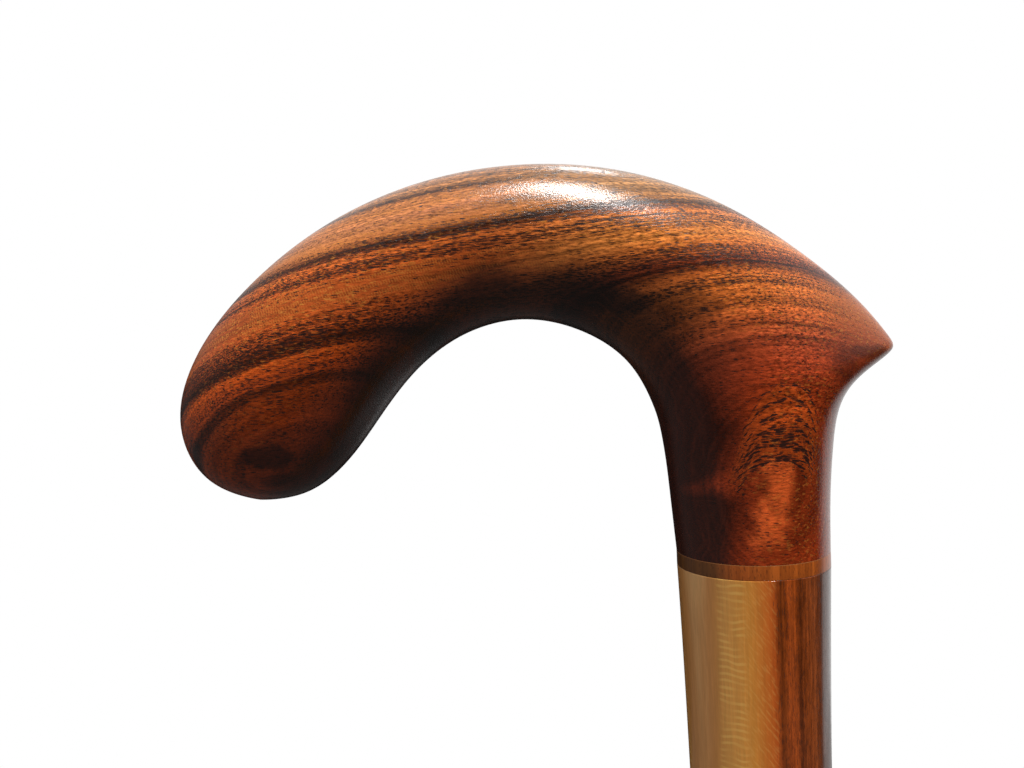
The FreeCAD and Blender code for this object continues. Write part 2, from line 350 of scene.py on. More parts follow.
def woodFibreGroup():
    # what lies along the grain: fibres, streaks that keep to the layers, short dark pores and pale flecks
    tree, given, result = startTree("woodFibre", "ShaderNodeTree", {
        "Point": (0.0, 0.0, 0.0), "Layer": 0.0, "Fibre Stretch": (850.0, 3400.0, 3400.0),
        "Streak Count": 20.0, "Streak Along": (16.0, 0.0, 0.0), "Streak Across": (0.0, 50.0, 0.0),
        "Pore Stretch": (950.0, 4300.0, 4300.0), "Pore Share": 0.4, "Pore Width": 0.38, "Pore Rows": 0.0,
    }, {"Fibre": "Float", "Streak": "Float", "Pore": "Float", "Fleck": "Float"})
    point = given["Point"]
    fibrePoint = stretch(point, given["Fibre Stretch"])
    streakPoint = together(times(given["Layer"], given["Streak Count"]),
                           dot(point, given["Streak Along"]), dot(point, given["Streak Across"]))
    streak = noise(streakPoint, 1.0, 4.0, 0.6)
    swirl = noise(point, 300.0, 1.0, output="Color")
    bent = vectorCalc("ADD", stretch(point, given["Pore Stretch"]), stretch(swirl, (1.2, 1.2, 1.2)))
    width = timesPlus(given["Pore Share"], 0.16, given["Pore Width"])
    rows = times(remap(streak, 0.62, 0.38, -0.9, 0.9), given["Pore Rows"])
    share = times(given["Pore Share"], plus(rows, 1.0))  # pores keep to the dark streaks
    pores = []
    for size, strength in ((1.0, 1.0), (1.47, 0.8)):  # two sizes of pore
        distance, dice = dicedCells(bent, size, 1.0)
        chosen = calc("LESS_THAN", dice[0], share)
        pores.append(times(chosen, remap(distance, width, times(width, 0.7)), strength))
    fleck = noise(stretch(fibrePoint, (0.9, 0.75, 0.75)), 1.0, 2.0, 0.7)
    setInput(result["Fibre"], noise(fibrePoint, 1.0, 3.0, 0.65))
    setInput(result["Streak"], streak)
    setInput(result["Pore"], most(*pores))
    setInput(result["Fleck"], remap(fleck, 0.54, 0.7))
    return tree


growthLayers = growthLayersGroup()
woodFibre = woodFibreGroup()
print("shader groups built")


# Grip: the carved handle, as ovals on chords from the crook to the outer side

gripShape = {
    "neckBack": [(1.0, 0.0), (1.015, 0.118), (1.085, 0.279)],  # collar radii across, share of the rise
    "beakUnder": [(0.677, 0.424), (0.954, 0.488), (1.0, 0.506)],  # shares of the beak's reach and of the rise
    "crown": [
        (1.0, 0.506), (0.831, 0.593), (0.442, 0.732), (-0.037, 0.881), (-0.193, 0.968), (-0.379, 1.0),
        (-0.562, 0.966), (-0.723, 0.875), (-0.863, 0.732), (-0.970, 0.544), (-1.0, 0.379), (-0.962, 0.247),
        (-0.873, 0.179),
    ],
    "neckFront": [(-1.0, 0.0), (-1.077, 0.185), (-1.262, 0.393)],
    "crook": [
        (-0.211, 0.497), (-0.287, 0.575), (-0.394, 0.612), (-0.499, 0.579), (-0.585, 0.494),
        (-0.657, 0.372), (-0.722, 0.259), (-0.786, 0.196), (-0.873, 0.179),
    ],
    "crookAtBeak": 0.205,  # share of the crook's length where its chord reaches the beak
    "shoulderHalfDepth": 13.4 * mm,
    "armHalfDepth": 13.0 * mm,
    "bulbHalfDepth": 14.6 * mm,
    "bulbShare": 0.8,
    "beakNarrowing": 0.45,
    "fadeBelow": 0.22,
    "fadeAbove": 0.13,
    "crowding": 1.7,
    "creaseReach": 9 * mm,
    "creasePasses": 160,
    "tipReach": 1.6 * mm,
    "tipPasses": 30,
    "neckRings": 48,
    "crownRings": 150,
    "sides": 112,
}


def rimPoints(shares, left, right):
    rise = gripHigh.z - gripLow.z
    return [(share * (left if share < 0 else right), gripLow.z + up * rise) for share, up in shares]


def smoothCurve(points):
    # a natural cubic spline through the points, read by a share of its length
    points = np.array(points)
    chord = np.concatenate([[0], np.cumsum(np.linalg.norm(np.diff(points, axis=0), axis=1))])
    gap = np.diff(chord)
    system = np.eye(len(points))
    target = np.zeros_like(points)
    for n in range(1, len(points) - 1):
        system[n, n - 1:n + 2] = gap[n - 1], 2 * (gap[n - 1] + gap[n]), gap[n]
        target[n] = 6 * ((points[n + 1] - points[n]) / gap[n] - (points[n] - points[n - 1]) / gap[n - 1])
    bend = np.linalg.solve(system, target)
    places = np.linspace(0, chord[-1], 4001)
    piece = np.clip(np.searchsorted(chord, places, side="right") - 1, 0, len(gap) - 1)
    after = ((places - chord[piece]) / gap[piece])[:, None]
    before = 1 - after
    square = (gap[piece] ** 2 / 6)[:, None]
    line = before * points[piece] + after * points[piece + 1]
    line = line + square * ((before ** 3 - before) * bend[piece] + (after ** 3 - after) * bend[piece + 1])
    length = np.concatenate([[0], np.cumsum(np.linalg.norm(np.diff(line, axis=0), axis=1))])
    shares = length / length[-1]
    return lambda share: np.array([np.interp(share, shares, line[:, axis]) for axis in (0, 1)])


def between(start, end, share):
    return start + (end - start) * share * share * (3 - 2 * share)


def softened(rings, weight):
    # one pass that draws each ring's points towards the rings beside it
    pull = rings[:-2] + rings[2:] - 2 * rings[1:-1]
    rings[1:-1] += 0.25 * weight[1:-1, :, None] * pull


def softenBeak(rings, shape):
    # rounds the crease that runs in from the beak, then blunts the beak's point a little
    middle = rings.mean(axis=1)
    away = np.linalg.norm(middle - middle[shape["neckRings"]], axis=1)
    turn = fullTurn * np.arange(shape["sides"]) / shape["sides"]
    weight = np.exp(-(away / shape["creaseReach"]) ** 2)[:, None] * ((1 - np.cos(turn)) / 2) ** 0.35
    for _ in range(shape["creasePasses"]):
        softened(rings, weight)
    tip = rings[shape["neckRings"], 0]
    for _ in range(shape["tipPasses"]):
        softened(rings, np.exp(-(np.linalg.norm(rings - tip, axis=2) / shape["tipReach"]) ** 2))
    return rings


def halfDepth(share, width, bulbWidth, shape):
    bulbShare = shape["bulbShare"]
    if share <= 0:
        return between(ringHigh.x, shape["shoulderHalfDepth"], share + 1)
    if share <= bulbShare / 2:
        return between(shape["shoulderHalfDepth"], shape["armHalfDepth"], share / (bulbShare / 2))
    if share <= bulbShare:
        return between(shape["armHalfDepth"], shape["bulbHalfDepth"], share / (bulbShare / 2) - 1)
    return shape["bulbHalfDepth"] * width / bulbWidth


def gripMesh(shape):
    collar, reach = (ringHigh.x, ringHigh.x), (-gripLow.x, gripHigh.x)
    back = smoothCurve(rimPoints(shape["neckBack"], *collar) + rimPoints(shape["beakUnder"], *reach))
    crown = smoothCurve(rimPoints(shape["crown"], *reach))
    crook = smoothCurve(rimPoints(shape["neckFront"], *collar) + rimPoints(shape["crook"], *reach))
    stations = []
    for step in range(shape["neckRings"]):
        share = 1 - (1 - step / shape["neckRings"]) ** shape["crowding"]
        stations.append((share - 1, crook(share * shape["crookAtBeak"]), back(share)))
    for step in range(shape["crownRings"] + 1):
        share = math.sin(step / shape["crownRings"] * math.pi / 2) ** shape["crowding"]
        inner = crook(shape["crookAtBeak"] + (1 - shape["crookAtBeak"]) * share)
        stations.append((share, inner, crown(share)))
    widths = [np.linalg.norm(outer - inner) / 2 for _, inner, outer in stations]
    bulbWidth = max(width for (share, _, _), width in zip(stations, widths) if share >= shape["bulbShare"])
    sides = shape["sides"]
    points, along, crookSide = [], [], []
    for (share, inner, outer), width in zip(stations, widths):
        depth = halfDepth(share, width, bulbWidth, shape)
        fade = shape["fadeBelow"] if share < 0 else shape["fadeAbove"]
        narrow = shape["beakNarrowing"] * math.exp(-(share / fade) ** 2)
        widest = -2 * narrow / (1 + math.sqrt(1 + 8 * narrow * narrow))
        tallest = math.sqrt(1 - widest * widest) * (1 - narrow * widest)
        for side in range(sides):
            turn = fullTurn * side / sides
            x, z = (inner + outer) / 2 + (outer - inner) / 2 * math.cos(turn)
            points.append((x, depth * math.sin(turn) * (1 - narrow * math.cos(turn)) / tallest, z))
            along.append(share)
            crookSide.append(-math.cos(turn))
    points = softenBeak(np.array(points).reshape(len(stations), sides, 3), shape).reshape(-1, 3)
    mesh = bpy.data.meshes.new("carvedGrip")
    mesh.from_pydata(points, [], [tuple(range(sides))] + ringFaces(len(stations), sides))
    for label, values in (("along", along), ("crookSide", crookSide)):
        mesh.attributes.new(label, "FLOAT", "POINT").data.foreach_set("value", values)
    return closedMesh(mesh, flatEnds=True)


gripWood = {
    "centre": (-30 * mm, 0.0, gripLow.z + 30 * mm),
    "reach": 30 * mm,
    "tilt": (0.18, -1.0, -0.88),
    "bow": (-0.02, -0.25, -0.69),
    "twist": (-0.01, 0.04, -0.14),
    "layerSpan": (-3.0, 1.4),  # the first and the last layer in the lists below
    "bulbLayers": [  # (layer, colour as a picture shows it) in the arm and the bulb
        (-3.0, (144, 84, 42)), (-2.45, (84, 46, 24)), (-2.3, (150, 94, 50)), (-1.9, (154, 98, 54)),
        (-1.76, (152, 96, 50)), (-1.73, (66, 36, 20)), (-1.68, (72, 40, 22)), (-1.64, (166, 100, 52)),
        (-1.50, (192, 117, 64)), (-1.40, (170, 104, 66)), (-1.32, (174, 107, 64)), (-1.24, (188, 113, 62)),
        (-1.15, (176, 100, 50)), (-1.09, (96, 48, 24)), (-1.05, (46, 22, 12)), (-1.01, (92, 42, 19)),
        (-0.97, (168, 82, 32)), (-0.78, (172, 78, 28)), (-0.60, (172, 78, 29)), (-0.45, (172, 75, 25)),
        (-0.36, (160, 66, 18)), (-0.29, (48, 20, 8)), (-0.22, (188, 77, 18)), (-0.13, (184, 71, 17)),
        (-0.075, (72, 29, 10)), (-0.04, (148, 57, 13)), (0.03, (140, 52, 11)), (0.10, (122, 44, 9)),
        (0.2, (108, 39, 9)), (0.3, (98, 36, 9)),
    ],
    "neckLayers": [  # (layer, colour) from the beak down to the ring
        (-3.0, (144, 84, 42)), (-2.45, (84, 46, 24)), (-2.3, (146, 94, 50)), (-1.9, (138, 96, 57)),
        (-1.76, (142, 100, 60)), (-1.50, (146, 102, 60)), (-1.33, (147, 100, 56)), (-1.15, (152, 97, 51)),
        (-1.05, (66, 33, 18)), (-0.97, (170, 94, 44)), (-0.60, (198, 115, 50)), (-0.44, (192, 98, 40)),
        (-0.33, (132, 56, 26)), (-0.25, (84, 35, 18)), (-0.17, (172, 86, 34)), (-0.05, (190, 98, 38)),
        (0.1, (188, 94, 38)), (0.26, (172, 78, 36)), (0.38, (150, 62, 32)), (0.50, (152, 58, 27)),
        (0.6, (150, 54, 22)), (0.685, (144, 50, 15)), (0.82, (124, 42, 12)), (0.9, (114, 39, 11)),
    ],
    "bulbSide": (-48 * mm, -24 * mm),  # where the bulb's layers give way to the neck's
    "pores": [  # (layer, share of the pore places that are filled)
        (-3.0, 0.3), (-1.64, 0.2), (-1.58, 0.08), (-1.22, 0.12), (-1.12, 0.6), (-1.02, 0.9), (-0.96, 0.6),
        (-0.92, 0.95), (-0.8, 0.9), (-0.74, 0.45), (-0.69, 0.1), (-0.52, 0.12), (-0.45, 0.55), (-0.38, 0.8),
        (-0.29, 0.9), (-0.22, 0.35), (-0.12, 0.7), (-0.07, 0.75), (-0.03, 0.3), (0.06, 0.25), (0.14, 0.5),
        (0.2, 0.35), (0.36, 0.2), (0.66, 0.12), (0.75, 0.2), (0.84, 0.25), (0.87, 0.08), (1.4, 0.1),
    ],
    "poreColour": (34, 14, 9),
    "flecks": [
        (-3.0, 0.6), (-0.9, 0.55), (-0.6, 0.8), (-0.34, 0.2), (-0.2, 0.5), (0.1, 0.6), (0.34, 0.4),
        (0.5, 0.1), (0.7, 0.35),
    ],
    "fleckColour": (208, 132, 54),
    "ladders": [  # (layer, share of the rows that show the short bright bars)
        (-3.0, 0.0), (-1.62, 0.0), (-1.56, 0.5), (-1.48, 0.4), (-1.3, 0.3), (-1.26, 0.8),
        (-1.13, 0.8), (-1.09, 0.0), (-0.8, 0.0), (-0.75, 0.85), (-0.56, 0.85), (-0.48, 0.0),
    ],
    "ladderCells": (190.0, 26.0),  # cells of bars for each metre across and for each layer
    "ladderSide": (-26 * mm, -48 * mm),
    "ladderPitch": 0.46 * mm,
    "ladderLean": 0.4,
    "ladderLight": 0.42,
    "fibreSwing": 1.0,
    "streakSwing": 0.7,
    "beakDimming": (6 * mm, 16 * mm, 1.0, 0.72),  # across from, to, and the values there
    # the bulb's far left end darker: painted shade where less light falls
    "bulbEndShade": (-70 * mm, -88 * mm, 1.0, 0.8),
    "innerBulbDimming": (-84 * mm, -76 * mm, 0.0, 0.18),
    "plainBulb": ((-16 * mm, -36 * mm), (-0.34, -0.1)),  # across, and by layer
    "poresAtRing": (-0.72, -0.58, 0.5, 1.0),  # along from, to, and the values there
    "poresAtBeak": (8 * mm, 19 * mm, 1.0, 0.25),
    "calmNeck": (-0.15, -0.4, 0.0, 0.5),
    "calmBeak": (6 * mm, 18 * mm, 0.0, 0.75),
    # painted shade inside the crook and under the arm: its dark colour, its faint streaks and how strongly it
    # darkens the wood
    "crookShadeColour": (26, 14, 10),
    "crookShadeStreak": (50, 22, 13),
    "crookShade": 0.88,
    "crookShadeEdge": [  # (spans of along where it grows and dies out, how far it moves the painted shade's edge)
        ((-0.01, 0.08), (0.62, 0.45), 0.1), ((0.36, 0.46), (0.56, 0.48), 0.12),
        ((0.66, 0.8), (3, 2), -0.18), ((-3, -2), (-0.2, -0.3), 0.14),
        ((-0.66, -0.5), (-0.2, -0.3), -0.35), ((-0.5, -0.4), (-0.2, -0.3), 0.2),
    ],
    "archSpan": (15.0, 30.0),  # the neck's arches of dark dashes, in mm above the ring
    "archMiddle": (1.6 * mm, 18 * mm),  # the arches' middle lies here, across and above the ring
    "archLean": 0.15,  # how far the middle moves to the beak's side with the height
    "archBend": 20.0,  # how fast an arch drops beside its middle
    "archLegs": 4.0e6,  # and how steeply its legs run down
    "archWaver": 0.5 * mm,
    "archSide": (8 * mm, 5.5 * mm),  # how far from the middle the arches end
    "archFoot": (11 * mm, 16 * mm),
    "archTint": ((16 * mm, 18 * mm), (29.5 * mm, 27.5 * mm)),
    "nearSide": (0.0, -5 * mm),
    "dashBend": 0.3,  # how far a dash turns along its arch
    "archDashes": [  # (height of the arch in mm, share of the places that are filled)
        (15.0, 0.0), (16.4, 0.04), (16.7, 1.0), (17.8, 1.0), (18.2, 0.4), (18.9, 0.5), (19.4, 1.0),
        (20.4, 0.95), (20.9, 0.45), (21.5, 0.9), (22.1, 0.9), (22.6, 0.12), (23.3, 0.2), (23.6, 0.95),
        (24.1, 0.9), (24.6, 0.1), (25.9, 0.12), (26.2, 0.9), (26.7, 0.85), (27.1, 0.08), (28.3, 0.06),
        (28.6, 0.85), (29.0, 0.6), (29.4, 0.0),
    ],
    "archColour": (170, 70, 19),
    "coreTop": (17.6 * mm, 16.2 * mm),  # the plain core under the arches
    "coreFoot": (1.5 * mm, 5 * mm),
    "coreSide": (4.2 * mm, 0.8 * mm),
    "coreWaver": 1.3 * mm,
    "coreColour": (214, 90, 36),
    # the first three spots, on the bulb, are dark wood; the two under the arm and the two below the beak's
    # ridge are painted shade
    "darkSpotsAndShade": [  # (middle, with its height above the ring, reach, both in mm, and strength)
        ((-80.5, -13, 20.6), (5.2, 6, 2.4), 0.75),
        ((-79, -11, 16.5), (4, 6, 1.6), 0.55),
        ((-93.5, -9, 21), (2.6, 4, 3.4), 0.6),
        ((-12, -13, 41.5), (6, 6, 4.5), 0.45),
        ((-23, -11.5, 43.2), (8, 6, 2.2), 0.7),
        ((18.5, -5, 33.6), (5, 6, 1.4), 0.5),
        ((14, -8, 31.5), (3, 6, 3.2), 0.4),
    ],
    "spotAndShadeColour": (30, 15, 11),
    "patchEdge": (1.15, 0.55),
    "patchFray": 1.1,
    "roughness": 0.215,
    "specular": 0.45,
    "grainRelief": (0.3, 0.02 * mm),  # strength and depth
    "peelFineness": 3300.0,  # the lacquer's fine unevenness, which frays the highlight
    "peelRelief": (0.36, 0.1 * mm),
}


def archFigure(point, look):
    # the neck's near side: long dark dashes that follow arches, over a plain bright core
    across, side, height = apart(point)
    rise = minus(height, gripLow.z)
    middle, middleRise = look["archMiddle"]
    offside = minus(across, timesPlus(minus(rise, middleRise), look["archLean"], middle))
    off = calc("ABSOLUTE", offside)
    swirl = noise(point, 230.0)
    square = times(off, off)
    arch = timesPlus(square, timesPlus(square, look["archLegs"], look["archBend"]), rise)
    arch = plus(arch, swing(swirl, -look["archWaver"], look["archWaver"]))
    share = layerRamp(over(arch, mm), look["archDashes"], *look["archSpan"])
    front = remap(side, *look["nearSide"])
    inside = times(remap(off, *look["archSide"]), front, remap(rise, *look["archFoot"]))
    dashes = useGroup(woodFibre, {
        "Point": together(offside, side, timesPlus(minus(arch, rise), look["dashBend"], rise)),
        "Pore Share": times(share, inside), "Pore Stretch": (620.0, 300.0, 2400.0), "Pore Width": 0.42,
    })
    frayed = plus(off, swing(swirl, -look["coreWaver"], look["coreWaver"]))
    core = times(remap(arch, *look["coreTop"]), remap(frayed, *look["coreSide"]),
                 remap(rise, *look["coreFoot"]), front)
    return dashes["Pore"], times(window(arch, *look["archTint"]), inside), core


def ladderFlecks(point, number, look):
    # rows of short bright bars that stand across the grain, and how far a layer is made of them
    across, _, height = apart(point)
    acrossCells, layerCells = look["ladderCells"]
    distance, dice = dicedCells(together(times(across, acrossCells), times(number, layerCells)), 1.0, 0.9)
    lean = timesPlus(height, look["ladderLean"], across)
    phase = timesPlus(lean, fullTurn / look["ladderPitch"], times(dice[0], fullTurn))
    share = times(layerRamp(number, look["ladders"], *look["layerSpan"]), remap(across, *look["ladderSide"]))
    shown = calc("LESS_THAN", dice[1], share)
    return times(remap(calc("SINE", phase), 0.0, 1.0), shown, remap(distance, 0.75, 0.4)), share


def darkSpotsAndShade(point, look):
    # a few soft dark spots: those on the bulb are dark wood, those under the arm and below the beak's ridge
    # are painted shade
    edge = noise(point, 420.0, 3.0, 0.65)
    foot = vectorCalc("SUBTRACT", point, (0.0, 0.0, gripLow.z))
    patches = []
    for centre, reach, strength in look["darkSpotsAndShade"]:
        middle, size = [tuple(part * mm for part in parts) for parts in (centre, reach)]
        away = vectorCalc("DIVIDE", vectorCalc("SUBTRACT", foot, middle), size)
        distance = timesPlus(minus(edge, 0.5), look["patchFray"], vectorCalc("LENGTH", away))
        patches.append(times(remap(distance, *look["patchEdge"]), strength))
    return most(*patches)


def crookShadeReach(point, along, look):
    # how far round to the crook a point lies, moved here and there so that one edge fits the whole painted
    # shade
    side = addNode(treeOf(point), "ShaderNodeAttribute", attribute_name="crookSide").outputs["Fac"]
    moves = [times(window(along, grows, dies), reach) for grows, dies, reach in look["crookShadeEdge"]]
    return plus(side, swing(noise(point, 70.0), -0.15, 0.15), *moves)


def gripMaterial(look):
    material, surface, point = startMaterial("oiledGripWood")
    placed = {label.capitalize(): look[label] for label in ("centre", "reach", "tilt", "bow", "twist")}
    number = useGroup(growthLayers, dict(placed, Point=point))["Layer"]
    across = apart(point)[0]
    along = addNode(treeOf(point), "ShaderNodeAttribute", attribute_name="along").outputs["Fac"]
    bulb, neck, pores, flecks = (layerRamp(number, look[label], *look["layerSpan"])
                                 for label in ("bulbLayers", "neckLayers", "pores", "flecks"))
    crookSide = crookShadeReach(point, along, look)
    intoShade = remap(crookSide, -0.05, 0.4)  # flecks and swings die out towards the crook, into the painted shade
    plainAcross, plainLayers = look["plainBulb"]
    plainBulb = times(remap(across, *plainAcross), remap(number, *plainLayers))

    dash, arched, core = archFigure(point, look)
    base = mixColour(remap(across, *look["bulbSide"]), bulb, neck)
    base = mixColour(times(arched, 0.55), base, look["archColour"])
    base = mixColour(times(core, 0.85), base, look["coreColour"])
    # darker on the bulb's inner part and towards the beak's end; the bulb's far left end is painted shade
    innerBulb = times(plainBulb, remap(across, *look["innerBulbDimming"]))
    ends = times(remap(across, *look["beakDimming"]), remap(across, *look["bulbEndShade"]))
    base = scaled(base, times(ends, minus(1.0, innerBulb)))

    fibre = useGroup(woodFibre, {
        "Point": point, "Layer": number, "Streak Count": 32.0, "Streak Along": (13.0, 0.0, 0.0),
        "Pore Share": times(pores, remap(along, *look["poresAtRing"]), remap(across, *look["poresAtBeak"])),
        "Pore Rows": 0.8, "Pore Stretch": (640.0, 4700.0, 4700.0), "Pore Width": 0.4,
    })
    bars, barred = ladderFlecks(point, number, look)
    calm = most(remap(along, *look["calmNeck"]), remap(across, *look["calmBeak"]), times(plainBulb, 0.55),
                times(intoShade, 0.5), times(barred, 0.7))
    lively = minus(1.0, calm)  # the neck, the beak and the bulb are plainer than the arm
    tone = timesPlus(swing(fibre["Fibre"], -look["fibreSwing"], look["fibreSwing"]), lively, 1.0)
    streak = timesPlus(swing(fibre["Streak"], -look["streakSwing"], look["streakSwing"]), lively, 1.0)
    toned = scaled(base, times(tone, streak))
    fleckShare = times(flecks, timesPlus(plainBulb, -0.85, 1.0), timesPlus(intoShade, -0.9, 1.0))
    gilt = most(times(fibre["Fleck"], fleckShare), times(bars, look["ladderLight"]))
    golden = mixColour(gilt, toned, look["fleckColour"])
    spotted = mixColour(darkSpotsAndShade(point, look), golden, look["spotAndShadeColour"])
    pore = most(fibre["Pore"], dash)
    dark = mixColour(times(pore, 0.95), spotted, look["poreColour"])

    # painted shade inside the crook and under the arm: a dark colour with faint streaks laid over the wood
    strand = noise(together(times(along, 5.0), times(crookSide, 26.0)), 1.0, 4.0)
    crookShadeTone = mixColour(remap(strand, 0.48, 0.66), look["crookShadeColour"], look["crookShadeStreak"])
    shaded = mixColour(remap(crookSide, 0.3, 0.75, 0.0, look["crookShade"]), dark, crookShadeTone)
    height = minus(times(fibre["Fibre"], 0.5), pore)
    peel = noise(point, look["peelFineness"])
    finishSurface(surface, shaded, timesPlus(pore, 0.2, look["roughness"]), look["specular"],
                  (height, *look["grainRelief"]), (peel, *look["peelRelief"]))
    return material


addPiece("carvedGrip", gripMesh(gripShape), "cane", gripMaterial(gripWood), "handle")


# Shaft: one turned length, swelling to the ring, made by geometry nodes

shaftShape = {
    "Top": shaftHigh.z,
    "Bottom": shaftLow.z,
    "Collar Radius": ringHigh.x,
    "Waist Radius": 11.2 * mm,
    "Tip Radius": 9.5 * mm,
    "Tip Height": rubberHigh.z,
    "Swell Fade": 55 * mm,
    "Top Rounding": 0.06 * mm,
    "Bottom Rounding": 0.8 * mm,
    "Rings": 220,
    "Sides": 128,
}


def shaftTree(values):
    tree, given, result = startShapeTree("turnedShaft", values)
    top, bottom, waist = given["Top"], given["Bottom"], given["Waist Radius"]
    axis = shapeNode(tree, "CurvePrimitiveLine", {"Start": (0, 0, 0), "End": (0, 0, 1)})
    rings = shapeNode(tree, "ResampleCurve", {"Curve": axis, "Count": given["Rings"]})
    share = over(shapeNode(tree, "InputIndex"), minus(given["Rings"], 1.0))
    crowded = minus(0.5, times(calc("COSINE", times(share, math.pi)), 0.5))
    height = timesPlus(crowded, minus(top, bottom), bottom)
    below = minus(top, height)
    taper = over(minus(waist, given["Tip Radius"]), minus(top, given["Tip Height"]))
    swell = calc("EXPONENT", over(times(below, -1.0), given["Swell Fade"]))
    swell = times(swell, minus(given["Collar Radius"], waist))
    radius = most(plus(minus(waist, times(taper, below)), swell), given["Tip Radius"])
    for rounding, distance in (("Top Rounding", below), ("Bottom Rounding", minus(height, bottom))):
        inside = calc("SUBTRACT", 1.0, over(distance, given[rounding]), clamp=True)
        drop = minus(1.0, calc("SQRT", minus(1.0, times(inside, inside))))
        radius = minus(radius, times(drop, given[rounding]))
    placed = shapeNode(tree, "SetPosition", {"Geometry": rings, "Position": together(z=height)})
    circle = shapeNode(tree, "CurvePrimitiveCircle", {"Resolution": given["Sides"], "Radius": 1.0})
    sockets = {"Curve": placed, "Profile Curve": circle, "Scale": radius, "Fill Caps": True}
    return finishTree(tree, shapeNode(tree, "CurveToMesh", sockets), given, result)


shaftWood = {
    "centre": (59.7 * mm, 25 * mm, shaftHigh.z),
    "reach": 70 * mm,
    "layerSpan": (-1.3, -0.5),
    "woodLayers": [  # (layer, colour) from the pale sapwood on the left to the heartwood behind
        (-1.3, (246, 196, 136)), (-1.23, (232, 178, 116)), (-1.217, (206, 142, 82)), (-1.207, (198, 134, 72)),
        (-1.196, (204, 140, 72)), (-1.18, (214, 150, 76)), (-1.15, (215, 147, 70)), (-1.11, (214, 139, 58)),
        (-1.06, (202, 110, 42)), (-1.03, (190, 89, 32)), (-1.013, (156, 70, 24)), (-1.002, (118, 53, 17)),
        (-0.988, (128, 58, 18)), (-0.97, (165, 74, 25)), (-0.935, (160, 72, 23)), (-0.92, (124, 55, 17)),
        (-0.908, (96, 42, 13)), (-0.895, (122, 56, 20)), (-0.87, (140, 66, 26)), (-0.83, (148, 74, 35)),
        (-0.8, (116, 58, 30)), (-0.76, (88, 46, 26)), (-0.66, (72, 34, 16)), (-0.6, (120, 56, 24)),
    ],
    "heartwood": (-1.04, -0.98),  # where the broken-up heartwood starts
    "barPitch": 1.15 * mm,  # the bright bars that lie across the sapwood
    "barShare": 0.32,
    "slantAlong": (290.0, 0.0, -410.0),  # the fine slanted marks beside them
    "slantAcross": (2100.0, 0.0, 1480.0),
    "slantShare": 0.14,
    "barLayers": ((-1.203, -1.19), (-1.115, -1.14)),  # where they grow and die out
    "slantLayers": ((-1.17, -1.11), (-1.005, -1.03)),
    "markColour": (250, 206, 112),
    "poreColour": (44, 22, 14),
    "ragged": 0.05,
    "roughness": 0.16,
    "specular": 0.5,
    "relief": (0.15, 0.02 * mm),
}


def sapwoodMarks(point, number, look):
    # bright bars across a column of the sapwood, and fine slanted marks beside it
    drifts = colourParts(noise(stretch(point, (260.0, 260.0, 210.0)), 1.0, 1.5, output="Color"))
    phase = timesPlus(apart(point)[2], fullTurn / look["barPitch"], times(drifts[0], 9.0))
    column = times(window(number, *look["barLayers"]), look["barShare"])
    bars = times(remap(calc("SINE", phase), -0.2, 1.0), remap(drifts[1], 0.34, 0.52, 0.2, 1.0), column)
    marks = noise(together(dot(point, look["slantAlong"]), dot(point, look["slantAcross"])), 1.0, 1.5)
    beside = times(window(number, *look["slantLayers"]), look["slantShare"])
    return most(bars, times(remap(marks, 0.48, 0.68), beside))


def shaftMaterial(look):
    material, surface, point = startMaterial("twoToneShaftWood")
    number = useGroup(growthLayers, {
        "Point": point, "Centre": look["centre"], "Reach": look["reach"], "Tilt": (0.0, 0.0, 0.03),
        "Bow": (-1.0, -1.0, 0.0), "Waver Stretch": (90.0, 90.0, 9.0), "Waver": 0.03, "Ripple": 0.01,
        "Crown": 0.0,
    })["Layer"]
    ragged = minus(noise(stretch(point, (1300.0, 1300.0, 420.0)), 1.0, 3.0, 0.65), 0.5)
    stain = plus(number, times(ragged, remap(number, -1.05, -0.98, 0.0, look["ragged"])))
    base = layerRamp(stain, look["woodLayers"], *look["layerSpan"])
    fibre = useGroup(woodFibre, {
        "Point": point, "Layer": number, "Fibre Stretch": (2400.0, 2400.0, 160.0), "Streak Count": 120.0,
        "Streak Along": (0.0, 0.0, 12.0), "Streak Across": (0.0, 60.0, 0.0), "Pore Width": 0.34,
        "Pore Stretch": (3600.0, 3600.0, 620.0), "Pore Share": remap(number, -1.04, -1.0, 0.0, 0.5),
    })
    broken = remap(number, *look["heartwood"])
    fine = times(swing(fibre["Fibre"], -1.0, 1.0), timesPlus(broken, 0.3, 0.1))
    broad = times(swing(fibre["Streak"], -0.25, 0.25), timesPlus(broken, 0.8, 0.2))
    toned = scaled(base, times(plus(fine, 1.0), plus(broad, 1.0)))
    marked = mixColour(sapwoodMarks(point, number, look), toned, look["markColour"])
    poreShade = mixColour(0.62, marked, look["poreColour"])
    dark = mixColour(times(fibre["Pore"], 0.7), marked, poreShade)
    finishSurface(surface, dark, timesPlus(fibre["Pore"], 0.12, look["roughness"]), look["specular"],
                  (fibre["Fibre"], *look["relief"]))
    return material


shaftFinish = shaftMaterial(shaftWood)
shaftMesh = evaluatedMesh("turnedShaft", shaftTree(shaftShape), shaftShape, shaftFinish)
addPiece("turnedShaft", closedMesh(shaftMesh, flatEnds=True), "cane", shaftFinish, "shaft")


# Ring between the grip and the shaft: streaks along the cane and a pale line at its upper edge

ringShape = {"bore": 4.3 * mm, "edge": 0.1 * mm, "sides": 144}

ringWood = {
    "paleLineWidth": 0.16 * mm,
    "streaks": [
        (0.3, (132, 62, 18)), (0.42, (174, 86, 26)), (0.52, (154, 74, 22)), (0.6, (182, 92, 30)),
        (0.7, (140, 66, 20)),
    ],
    "darkSide": (104, 62, 26),
    "poreColour": (64, 32, 14),
    "paleLineColour": (158, 98, 52),
    "roughness": 0.28,
    "specular": 0.4,
}


